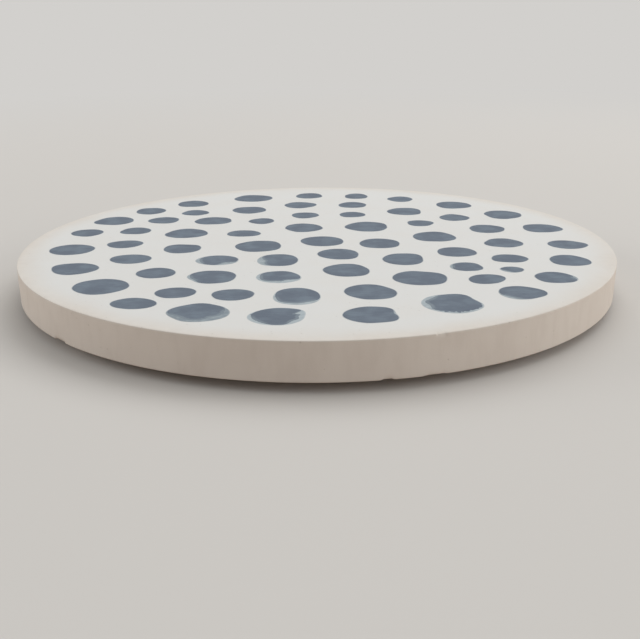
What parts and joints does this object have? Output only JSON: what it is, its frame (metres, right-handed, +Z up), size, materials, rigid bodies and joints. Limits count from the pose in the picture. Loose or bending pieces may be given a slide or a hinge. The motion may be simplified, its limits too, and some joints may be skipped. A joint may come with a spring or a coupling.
{
  "type": "drink coaster",
  "caption": "Flat round drink coaster: a thin unglazed ceramic disc with a softened rim and painted spots, glued to a smaller cork backing that lifts its edge off the table.",
  "frame": {"origin": "middle of the cork backing's lower face, which rests on the table", "axes": "+Z up, out of the drinking face, along the axis of the round disc"},
  "size_m": [0.1, 0.1, 0.007],
  "materials": {
    "ceramic": "matte",
    "adhesive": "satin",
    "cork": "matte"
  },
  "bodies": {
    "root": {"ceramic_disc": "ceramic", "adhesive_film": "adhesive", "cork_backing": "cork"}
  },
  "joints": []
}
